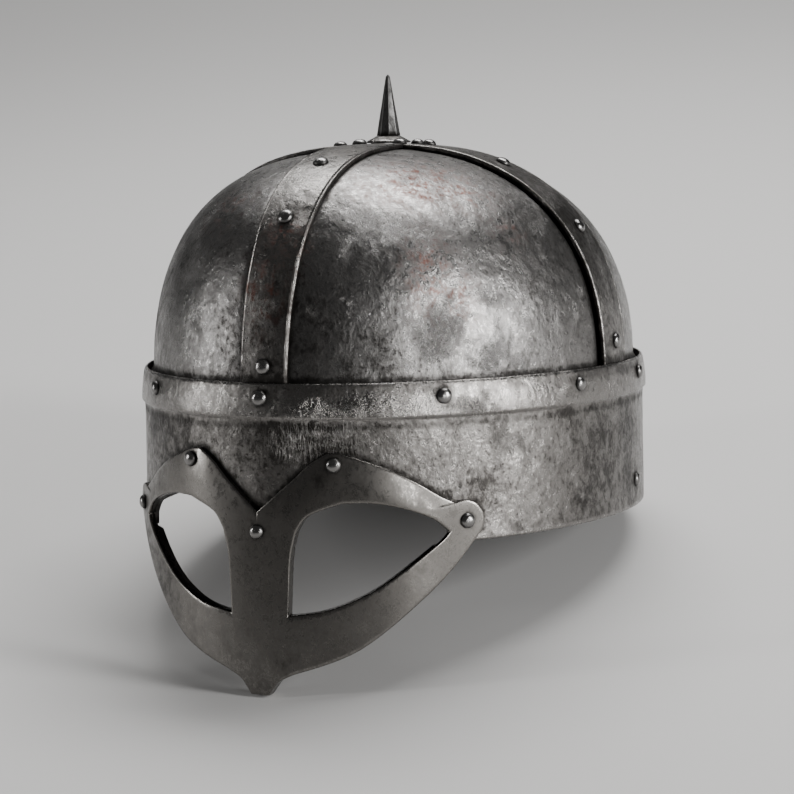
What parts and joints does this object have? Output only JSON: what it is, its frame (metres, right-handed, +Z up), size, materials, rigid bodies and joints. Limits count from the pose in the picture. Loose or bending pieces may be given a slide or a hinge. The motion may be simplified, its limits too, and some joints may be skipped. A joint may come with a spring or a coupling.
{
  "type": "norse iron helmet",
  "caption": "Iron helmet with a bowl of riveted plates under crossed bands, a brow band, a spectacle guard over the eyes and nose, and a short spike on the crown",
  "frame": {"origin": "centre of the footprint of the helmet's box, on the surface that it rests on", "axes": "+Z up, -Y towards the face, +X towards the wearer's left; the helmet leans back about 13 degrees on its nasal tip and the back of its rim"},
  "size_m": [0.205, 0.2656, 0.2017],
  "materials": {
    "plate_iron": "worn dark iron sheet, pitted and mottled, with brighter rubbed places and rust specks",
    "band_iron": "worn dark iron strap, scratched, with grime along its edges",
    "guard_iron": "smooth satin grey-brown iron with light worn edges",
    "rivet_iron": "hand-hammered iron heads, rubbed bright on top and dark round the foot",
    "spike_iron": "forged, dark, with file marks"
  },
  "bodies": {
    "root": {"dome_plate_front_left": "plate_iron", "dome_plate_back_left": "plate_iron", "dome_plate_back_right": "plate_iron", "dome_plate_front_right": "plate_iron", "crest_band": "band_iron", "side_band_left": "band_iron", "side_band_right": "band_iron", "brow_band": "band_iron", "eye_guard": "guard_iron", "crown_washer": "band_iron", "spike": "spike_iron", "brow_rivet_1": "rivet_iron", "brow_rivet_2": "rivet_iron", "brow_rivet_3": "rivet_iron", "brow_rivet_4": "rivet_iron", "brow_rivet_5": "rivet_iron", "brow_rivet_6": "rivet_iron", "brow_rivet_7": "rivet_iron", "brow_rivet_8": "rivet_iron", "brow_rivet_9": "rivet_iron", "brow_rivet_10": "rivet_iron", "rim_rivet_1": "rivet_iron", "rim_rivet_2": "rivet_iron", "guard_rivet_1": "rivet_iron", "guard_rivet_2": "rivet_iron", "guard_rivet_3": "rivet_iron", "guard_rivet_4": "rivet_iron", "guard_rivet_5": "rivet_iron", "crest_rivet_1": "rivet_iron", "crest_rivet_2": "rivet_iron", "crest_rivet_3": "rivet_iron", "crest_rivet_4": "rivet_iron", "crest_rivet_5": "rivet_iron", "crest_rivet_6": "rivet_iron", "side_rivet_left_1": "rivet_iron", "side_rivet_left_2": "rivet_iron", "side_rivet_left_3": "rivet_iron", "side_rivet_left_4": "rivet_iron", "side_rivet_right_1": "rivet_iron", "side_rivet_right_2": "rivet_iron", "side_rivet_right_3": "rivet_iron", "side_rivet_right_4": "rivet_iron", "crown_rivet_1": "rivet_iron", "crown_rivet_2": "rivet_iron", "crown_rivet_3": "rivet_iron", "crown_rivet_4": "rivet_iron"}
  },
  "joints": []
}
